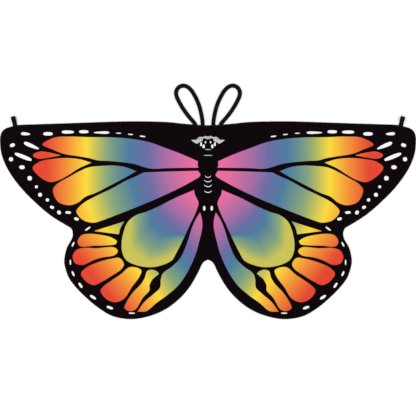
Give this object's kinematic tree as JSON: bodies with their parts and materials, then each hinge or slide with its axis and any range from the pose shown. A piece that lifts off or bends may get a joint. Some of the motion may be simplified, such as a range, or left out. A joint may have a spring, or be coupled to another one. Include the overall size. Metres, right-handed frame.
{
  "type": "butterfly wing cape",
  "caption": "Child's dress-up cape cut as butterfly wings from one thin printed cloth, with elastic loops for the arms at the neck edge and for a finger at each wing tip.",
  "frame": {"origin": "on the floor, below the middle of the flat cape with its arm loops", "axes": "+X towards the wearer's right wing tip, +Y towards the neck edge, +Z out of the printed side"},
  "size_m": [1.3602, 0.7696, 0.01],
  "materials": {
    "printed_cloth": "thin woven polyester, smooth with a slight sheen, printed on one side",
    "hem_cloth": "the same thin polyester, black, turned under twice and stitched",
    "elastic": "black knitted elastic, matt",
    "thread": "black sewing thread"
  },
  "bodies": {
    "back": {"back_panel": "printed_cloth", "back_top_hem": "hem_cloth", "back_bottom_hem": "hem_cloth", "left_arm_loop_inner_sewn_end": "elastic", "left_arm_loop_outer_sewn_end": "elastic", "right_arm_loop_inner_sewn_end": "elastic", "right_arm_loop_outer_sewn_end": "elastic", "left_arm_loop_inner_bar_tack": "thread", "left_arm_loop_outer_bar_tack": "thread", "right_arm_loop_inner_bar_tack": "thread", "right_arm_loop_outer_bar_tack": "thread"},
    "left_wing": {"left_wing_panel": "printed_cloth", "left_wing_top_hem": "hem_cloth", "left_wing_bottom_hem": "hem_cloth"},
    "left_tip": {"left_tip_panel": "printed_cloth", "left_tip_hem": "hem_cloth", "left_finger_loop_sewn_end": "elastic", "left_finger_loop_bar_tack": "thread"},
    "right_wing": {"right_wing_panel": "printed_cloth", "right_wing_top_hem": "hem_cloth", "right_wing_bottom_hem": "hem_cloth"},
    "right_tip": {"right_tip_panel": "printed_cloth", "right_tip_hem": "hem_cloth", "right_finger_loop_sewn_end": "elastic", "right_finger_loop_bar_tack": "thread"},
    "left_arm_band": {"left_arm_loop": "elastic"},
    "right_arm_band": {"right_arm_loop": "elastic"},
    "left_finger_band": {"left_finger_loop": "elastic"},
    "right_finger_band": {"right_finger_loop": "elastic"}
  },
  "joints": [
    {"name": "left_wing_flap", "type": "hinge", "parent": "back", "child": "left_wing", "pos_m": [-0.16, 0, 0.0025], "axis": [0, 1, 0], "range_deg": [0, 88]},
    {"name": "right_wing_flap", "type": "hinge", "parent": "back", "child": "right_wing", "pos_m": [0.16, 0, 0.0025], "axis": [0, -1, 0], "range_deg": [0, 88]},
    {"name": "left_tip_fold", "type": "hinge", "parent": "left_wing", "child": "left_tip", "pos_m": [-0.425, 0, 0.0025], "axis": [0, 1, 0], "range_deg": [0, 170]},
    {"name": "right_tip_fold", "type": "hinge", "parent": "right_wing", "child": "right_tip", "pos_m": [0.425, 0, 0.0025], "axis": [0, -1, 0], "range_deg": [0, 170]},
    {"name": "left_arm_loop_lift", "type": "hinge", "parent": "back", "child": "left_arm_band", "pos_m": [-0.028, 0.2524, 0.0033], "axis": [1, 0, 0], "range_deg": [0, 150]},
    {"name": "right_arm_loop_lift", "type": "hinge", "parent": "back", "child": "right_arm_band", "pos_m": [0.028, 0.2524, 0.0033], "axis": [1, 0, 0], "range_deg": [0, 150]},
    {"name": "left_finger_loop_lift", "type": "hinge", "parent": "left_tip", "child": "left_finger_band", "pos_m": [-0.63055, 0.24858, 0.0033], "axis": [0.9777, 0.2101, 0], "range_deg": [0, 150]},
    {"name": "right_finger_loop_lift", "type": "hinge", "parent": "right_tip", "child": "right_finger_band", "pos_m": [0.63055, 0.24858, 0.0033], "axis": [0.9777, -0.2101, 0], "range_deg": [0, 150]}
  ]
}
